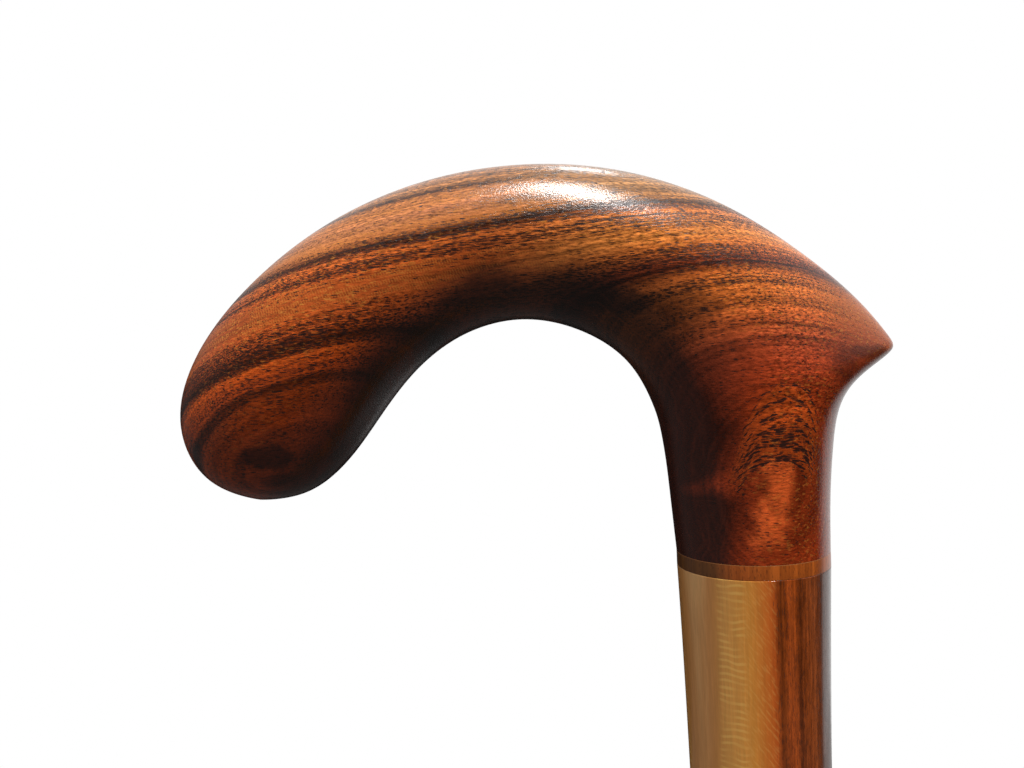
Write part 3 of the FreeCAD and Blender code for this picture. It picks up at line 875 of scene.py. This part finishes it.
def ringProfile(shape):
    low, high, outer, edge = ringLow.z, ringHigh.z, ringHigh.x, shape["edge"]
    line = roundedLine([
        (shape["bore"], low, 0), (outer - 3 * edge, low, 0), (outer, low, edge), (outer, high, edge),
        (outer - 3 * edge, high, 0), (shape["bore"], high, 0),
    ])
    return line + line[:1]


def ringMaterial(look):
    material, surface, point = startMaterial("ringWood")
    fibre = useGroup(woodFibre, {
        "Point": point, "Fibre Stretch": (1500.0, 1500.0, 60.0), "Streak Count": 0.0,
        "Streak Along": (420.0, 0.0, 0.0), "Streak Across": (0.0, 420.0, 0.0),
        "Pore Stretch": (3200.0, 3200.0, 900.0), "Pore Share": 0.3, "Pore Width": 0.34,
    })
    across, _, height = apart(point)
    base = layerRamp(fibre["Streak"], look["streaks"], 0.0, 1.0)
    base = mixColour(remap(across, -5 * mm, -10 * mm), base, look["darkSide"])
    toned = scaled(base, swing(fibre["Fibre"], 0.75, 1.25))
    dark = mixColour(times(fibre["Pore"], 0.5), toned, look["poreColour"])
    # a thin pale line along the ring's upper edge
    paleLine = remap(height, ringHigh.z - look["paleLineWidth"], ringHigh.z - 0.5 * look["paleLineWidth"])
    finishSurface(surface, mixColour(paleLine, dark, look["paleLineColour"]), look["roughness"], look["specular"])
    return material


ringMesh = turnedMesh("spacerRing", ringProfile(ringShape), ringShape["sides"])
addPiece("turnedSpacerRing", ringMesh, "cane", ringMaterial(ringWood), "spacer_ring")


# Metal parts inside the cane: a threaded stud, its two inserts and the disc in the rubber tip

metals = {
    "turnedBrass": {"bright": (214, 172, 96), "dull": (150, 106, 52), "roughness": 0.24, "marks": 7000.0},
    "zincPlate": {"bright": (192, 194, 198), "dull": (142, 142, 138), "roughness": 0.3, "marks": 12000.0},
    "pressedSteel": {"bright": (176, 178, 182), "dull": (112, 108, 104), "roughness": 0.34, "marks": 5000.0},
}


def turningMarksGroup():
    # fine rings that a lathe or a press leaves round the cane's axis, and dull patches
    inputs = {"Point": (0.0, 0.0, 0.0), "Fineness": 9000.0}
    outputs = {"Mark": "Float", "Patch": "Float"}
    tree, given, result = startTree("turningMarks", "ShaderNodeTree", inputs, outputs)
    x, y, z = apart(given["Point"])
    lathe = together(vectorCalc("LENGTH", together(x, y)), z)
    setInput(result["Mark"], noise(lathe, given["Fineness"]))
    setInput(result["Patch"], noise(given["Point"], 320.0, 4.0, 0.6))
    return tree


turningMarks = turningMarksGroup()


def metalMaterial(name):
    look = metals[name]
    material, surface, point = startMaterial(name)
    marks = useGroup(turningMarks, {"Point": point, "Fineness": look["marks"]})
    dull = remap(marks["Patch"], 0.48, 0.72)
    toned = scaled(mixColour(dull, look["bright"], look["dull"]), swing(marks["Mark"], 0.85, 1.12))
    surface.inputs["Metallic"].default_value = 1.0
    rough = timesPlus(dull, 0.2, look["roughness"])
    finishSurface(surface, toned, rough, 0.5, (marks["Mark"], 0.25, 0.02 * mm))
    return material


def finishNode(node, material):
    # a carried-over CAD piece keeps its mesh and takes the material in all its slots
    mesh = bpy.data.objects[node].data
    if not mesh.materials:
        mesh.materials.append(material)
    for slot in range(len(mesh.materials)):
        mesh.materials[slot] = material


brass = metalMaterial("turnedBrass")
finishNode("handle_insert", brass)
finishNode("shaft_insert", brass)
finishNode("tip_washer", metalMaterial("pressedSteel"))
print("inserts and washer finished")

studShape = {
    "Bottom": studLow.z,
    "Top": studHigh.z,
    "Outer Radius": studHigh.x,
    "Thread Depth": 0.55 * mm,
    "Pitch": 1.25 * mm,
    "Chamfer": 0.9 * mm,
    "Rings": 400,
    "Sides": 48,
}


def studTree(values):
    tree, given, result = startShapeTree("threadedStud", values)
    length = minus(given["Top"], given["Bottom"])
    rod = shapeNode(tree, "MeshCylinder", {
        "Vertices": given["Sides"], "Side Segments": given["Rings"], "Radius": given["Outer Radius"],
        "Depth": length,
    })
    x, y, z = apart(shapeNode(tree, "InputPosition"))
    turn = over(calc("ARCTAN2", y, x), fullTurn)
    climb = calc("FRACT", minus(over(z, given["Pitch"]), turn))
    flank = calc("ABSOLUTE", timesPlus(climb, 2.0, -1.0))
    cut = times(remap(flank, 0.12, 0.85, kind="LINEAR"), given["Thread Depth"])
    fromEnd = minus(times(length, 0.5), calc("ABSOLUTE", z))
    inward = most(cut, minus(given["Chamfer"], fromEnd))
    share = minus(1.0, over(inward, given["Outer Radius"]))
    middle = times(plus(given["Top"], given["Bottom"]), 0.5)
    place = together(times(x, share), times(y, share), plus(z, middle))
    threaded = shapeNode(tree, "SetPosition", {"Geometry": rod, "Position": place})
    return finishTree(tree, threaded, given, result)


zincPlate = metalMaterial("zincPlate")
studMesh = evaluatedMesh("threadedStud", studTree(studShape), studShape, zincPlate)
addPiece("threadedStud", closedMesh(studMesh, flatEnds=True), "cane", zincPlate, "joining_stud")


# Rubber tip: a turned body with a flared foot and a deep bore, with ribs and tread rings by geometry nodes

tipShape = {
    "sides": 144,
    "footHeight": 7 * mm,
    "footRounding": 1.4 * mm,
    "neckRadius": 12.6 * mm,
    "flareTop": 21 * mm,
    "flareSag": 1.6 * mm,
    "lipRadius": 13.4 * mm,
    "lipHeight": 3.2 * mm,
    "boreRadius": 9.55 * mm,
    "soleThickness": washerLow.z,
    "treadDepth": 2.2 * mm,
    "landRadius": 5.5 * mm,
    "rimInside": 18.3 * mm,
    "edge": 0.45 * mm,  # rounding of the small edges
}

tipDetails = {
    "Rib Count": 4,
    "Rib Radius": 12.4 * mm,
    "Rib Reach": 0.9 * mm,
    "Rib Height": 2.4 * mm,
    "Rib Pitch": 4.6 * mm,
    "First Rib": 25.0 * mm,
    "Ring Count": 2,
    "Ring Radius": 9.3 * mm,
    "Ring Pitch": 5.2 * mm,
    "Ring Width": 2.8 * mm,
    "Tread Depth": tipShape["treadDepth"],
    "Edge": 0.4 * mm,
    "Sides": tipShape["sides"],
}


def bulge(low, high, reach, steps):
    # a bow from low to high that stands out by reach in its middle
    low, high = np.array(low), np.array(high)
    chord = high - low
    out = np.array([chord[1], -chord[0]]) / np.linalg.norm(chord)
    shares = [step / steps for step in range(steps + 1)]
    return [low + chord * share + out * reach * 4 * share * (1 - share) for share in shares]


def tipProfile(shape):
    edge, foot, top = shape["edge"], rubberHigh.x, rubberHigh.z
    rounding, groove, neck = shape["footRounding"], shape["treadDepth"], shape["neckRadius"]
    line = roundedLine([
        (0, 0, 0), (shape["landRadius"], 0, edge), (shape["landRadius"], groove, edge),
        (shape["rimInside"], groove, edge), (shape["rimInside"], 0.25 * mm, 0.0),
    ])
    turns = [math.radians(angle) for angle in range(30, 91, 6)]
    line += [np.array([foot - rounding * (1 - math.sin(t)), rounding * (1 - math.cos(t))]) for t in turns]
    line += bulge((foot, shape["footHeight"]), (neck, shape["flareTop"]), -shape["flareSag"], 20)
    line += bulge((neck, top - shape["lipHeight"]), (neck, top - edge), shape["lipRadius"] - neck, 14)
    line += roundedLine([
        (neck, top - edge, 0), (neck - edge, top, 0), (shape["boreRadius"], top, edge),
        (shape["boreRadius"], shape["soleThickness"], edge), (0, shape["soleThickness"], 0),
    ])
    return line


def tipTree(values):
    tree, given, result = startShapeTree("tipRibsAndTread", {"Body": "Geometry", **values})

    ribPlaces = shapeNode(tree, "MeshLine", {
        "Count": given["Rib Count"], "Start Location": together(z=given["First Rib"]),
        "Offset": together(z=given["Rib Pitch"]),
    })
    ribSockets = {"Resolution": given["Sides"], "Radius": given["Rib Radius"]}
    ribPath = shapeNode(tree, "CurvePrimitiveCircle", ribSockets)
    oval = shapeNode(tree, "CurvePrimitiveCircle", {"Resolution": 20, "Radius": 1.0})
    ovalSize = together(given["Rib Reach"], times(given["Rib Height"], 0.5), 1.0)
    ribProfile = shapeNode(tree, "Transform", {"Geometry": oval, "Scale": ovalSize})
    rib = shapeNode(tree, "CurveToMesh", {"Curve": ribPath, "Profile Curve": ribProfile})
    ribs = shapeNode(tree, "InstanceOnPoints", {"Points": ribPlaces, "Instance": rib})

    ringHeight = times(given["Tread Depth"], 0.6)
    ringPlaces = shapeNode(tree, "MeshLine", {
        "Count": given["Ring Count"], "Start Location": together(z=ringHeight), "Offset": (0.0, 0.0, 0.0),
    })
    ringPath = shapeNode(tree, "CurvePrimitiveCircle", {"Resolution": given["Sides"], "Radius": 1.0})
    ringRadius = timesPlus(shapeNode(tree, "InputIndex"), given["Ring Pitch"], given["Ring Radius"])
    rings = shapeNode(tree, "InstanceOnPoints", {
        "Points": ringPlaces, "Instance": ringPath, "Scale": together(ringRadius, ringRadius, 1.0),
    })
    ringCurves = shapeNode(tree, "RealizeInstances", {"Geometry": rings})
    block = shapeNode(tree, "CurvePrimitiveQuadrilateral", {
        "Width": given["Ring Width"], "Height": times(ringHeight, 2.0),
    })
    soft = shapeNode(tree, "FilletCurve", {"Curve": block, "Count": 4, "Radius": given["Edge"]}, mode="POLY")
    tread = shapeNode(tree, "CurveToMesh", {"Curve": ringCurves, "Profile Curve": soft})

    joined = addNode(tree, "GeometryNodeJoinGeometry")
    for part in (tread, ribs, given["Body"]):
        setInput(joined.inputs[0], part)
    return finishTree(tree, joined.outputs[0], given, result)


tipRubber = {
    "black": (34, 33, 32),
    "bloom": (58, 56, 54),  # the dull film that old rubber gets
    "dust": (132, 124, 114),
    "dustHeight": 9 * mm,
    "seamWidth": 0.3 * mm,
    "roughness": 0.42,
    "specular": 0.4,
    "relief": (0.6, 0.12 * mm),
}


def rubberMaterial(look):
    material, surface, point = startMaterial("mouldedRubber")
    across, _, height = apart(point)
    cloud = noise(point, 120.0, 5.0, 0.6)
    skin = noise(point, 2600.0, 3.0, 0.7)
    speck = noise(point, 1900.0, 4.0, 0.75)
    base = mixColour(remap(cloud, 0.4, 0.68), look["black"], look["bloom"])
    low = remap(height, look["dustHeight"], 0.0)
    base = mixColour(times(remap(speck, 0.46, 0.66), timesPlus(low, 0.42, 0.05)), base, look["dust"])
    seam = remap(calc("ABSOLUTE", across), look["seamWidth"], 0.4 * look["seamWidth"])
    relief = timesPlus(seam, 0.8, times(skin, 0.6))
    finishSurface(surface, scaled(base, swing(skin, 0.8, 1.2)), timesPlus(cloud, 0.3, look["roughness"]),
                  look["specular"], (relief, *look["relief"]))
    return material


tipFinish = rubberMaterial(tipRubber)
tipBody = turnedMesh("tipBody", tipProfile(tipShape), tipShape["sides"])
tipMesh = evaluatedMesh("ribbedRubberTip", tipTree(tipDetails), tipDetails, tipFinish, start=tipBody)
addPiece("ribbedRubberTip", closedMesh(tipMesh), "tip", tipFinish, "rubber_tip")


# Camera, lights, floor and world

cameraView = {
    "place": (-40.7 * mm, -156.3 * mm, gripLow.z + 35.4 * mm),
    "downDegrees": 1.8,
    "rollDegrees": -2.43,
    "focalPixels": 900.0,
    "pictureWidth": 1024,
    "sensorWidth": 36.0,
}

lamps = {
    "target": (-0.03, 0.0, gripLow.z + 50 * mm),
    "keyLamp": {"towards": (0.18, -0.31, 0.93), "distance": 2.2, "size": (0.38, 1.1), "power": 69.0},
    "crestLamp": {"towards": (0.16, 0.65, 0.75), "distance": 2.4, "size": (0.3, 0.26), "power": 5.0},
    "rearLamp": {"towards": (0.09, 0.97, 0.2), "distance": 2.4, "size": (0.3, 0.2), "power": 8.0},
}

room = {  # spans of a direction's x, y or z are (from, to) or (from, to, first value, last value)
    "plainLight": 0.21,
    "leftFront": (-0.81, -0.55, -0.2),
    "leftFrontLight": 0.33,  # added to the plain light from there
    "darkest": 0.01,  # what the object mirrors beside the backdrop, the card and the window
    "backdropX": (-0.8, -0.1, 0.3, 1.0),
    "backdropY": (-0.95, 0.1),
    "backdropZ": (0.02, 0.45),
    "windowX": (-0.55, -0.85, 0.0, 0.12),
    "windowZ": (-0.7, -0.5),
    "cardEdge": (-0.276, 0.961, 0.0),  # the white card stands beyond these two planes
    "cardSide": (0.985, -0.174, 0.0),
    "cardZ": (-0.6, -0.3),
    "cardLift": (0.1, 0.35, 0.0, 0.3),
}

floorLook = {"half": 1.6, "near": 0.7, "far": 1.5, "nearWhite": 0.78, "paint": 0.2, "paintMirrored": 0.06}


def addCamera(view):
    camera = addObject("camera", bpy.data.cameras.new("camera"))
    camera.data.sensor_fit = "HORIZONTAL"
    camera.data.sensor_width = view["sensorWidth"]
    camera.data.lens = view["sensorWidth"] * view["focalPixels"] / view["pictureWidth"]
    camera.data.clip_start = 0.01
    tilt = Euler((math.radians(90 - view["downDegrees"]), 0, 0)).to_matrix()
    turn = tilt @ Matrix.Rotation(math.radians(view["rollDegrees"]), 3, "Z")
    camera.matrix_world = Matrix.Translation(view["place"]) @ turn.to_4x4()
    bpy.context.scene.camera = camera


def addLamp(name):
    look = lamps[name]
    lamp = addObject(name, bpy.data.lights.new(name, "AREA"))
    lamp.data.shape = "RECTANGLE"
    lamp.data.size, lamp.data.size_y = look["size"]
    lamp.data.energy = look["power"]
    direction = Vector(look["towards"]).normalized()
    turn = direction.to_track_quat("Z", "Y").to_matrix().to_4x4()
    lamp.matrix_world = Matrix.Translation(Vector(lamps["target"]) + direction * look["distance"]) @ turn


def rayKinds(tree):
    path = addNode(tree, "ShaderNodeLightPath").outputs
    mirrored = most(path["Is Glossy Ray"], path["Is Transmission Ray"])
    return path["Is Camera Ray"], path["Is Glossy Ray"], mirrored


def addWorld(look):
    # the object mirrors a white backdrop above and behind it, a white card to its right and a dim window
    world = bpy.data.worlds.new("paleStudio")
    bpy.context.scene.world = world
    tree = startNodes(world)
    seenByCamera, _, mirrored = rayKinds(tree)
    direction = addNode(tree, "ShaderNodeTexCoord").outputs["Generated"]
    x, y, z = apart(direction)
    backdrop = times(remap(z, *look["backdropZ"]), remap(y, *look["backdropY"]), remap(x, *look["backdropX"]))
    card = times(remap(dot(direction, look["cardEdge"]), -0.03, 0.05),
                 remap(dot(direction, look["cardSide"]), 0.0, 0.3),
                 remap(plus(z, remap(x, *look["cardLift"])), *look["cardZ"]))
    dimWindow = times(remap(x, *look["windowX"]), remap(z, *look["windowZ"]))
    seen = most(seenByCamera, times(mirrored, most(dimWindow, look["darkest"], backdrop, card)))
    # plain light comes from all sides, and a little more from the left in front
    brightest = look["plainLight"] + look["leftFrontLight"]
    plain = remap(dot(direction, look["leftFront"]), 0.3, 0.9, look["plainLight"], brightest)
    strength = most(seen, times(minus(1.0, mirrored), plain))
    background = addNode(tree, "ShaderNodeBackground", {"Color": (1, 1, 1, 1), "Strength": strength})
    addNode(tree, "ShaderNodeOutputWorld", {"Surface": background.outputs[0]})


def addFloor(look):
    half = look["half"]
    mesh = bpy.data.meshes.new("floor")
    corners = [(-half, -half, 0), (half, -half, 0), (half, half, 0), (-half, half, 0)]
    mesh.from_pydata(corners, [], [(0, 1, 2, 3)])
    floor = addObject("floor", mesh)
    material = bpy.data.materials.new("paleFloor")
    tree = startNodes(material)
    seenByCamera, glossy, mirrored = rayKinds(tree)
    point = addNode(tree, "ShaderNodeTexCoord").outputs["Object"]
    # the floor turns plain white away from the cane
    far = remap(vectorCalc("LENGTH", point), look["near"], look["far"])
    right = remap(dot(point, room["cardEdge"]), 0.0, 0.2)
    behind = remap(dot(point, room["cardSide"]), 0.5, 0.9)
    seen = most(seenByCamera, times(mirrored, timesPlus(times(right, behind), 0.5, 0.05)))
    paint = remap(glossy, 0.0, 1.0, look["paint"], look["paintMirrored"], kind="LINEAR")
    lit = addNode(tree, "ShaderNodeBsdfDiffuse", {"Color": paint})
    white = remap(far, 0.0, 1.0, look["nearWhite"], 1.0, kind="LINEAR")
    glow = addNode(tree, "ShaderNodeEmission", {"Color": (1, 1, 1, 1), "Strength": times(seen, white)})
    both = addNode(tree, "ShaderNodeAddShader", {0: lit.outputs[0], 1: glow.outputs[0]})
    addNode(tree, "ShaderNodeOutputMaterial", {"Surface": both.outputs[0]})
    mesh.materials.append(material)


addCamera(cameraView)
for lampName in ("keyLamp", "crestLamp", "rearLamp"):
    addLamp(lampName)
addWorld(room)
addFloor(floorLook)
bpy.context.scene.view_settings.view_transform = "Standard"
print("stage made")
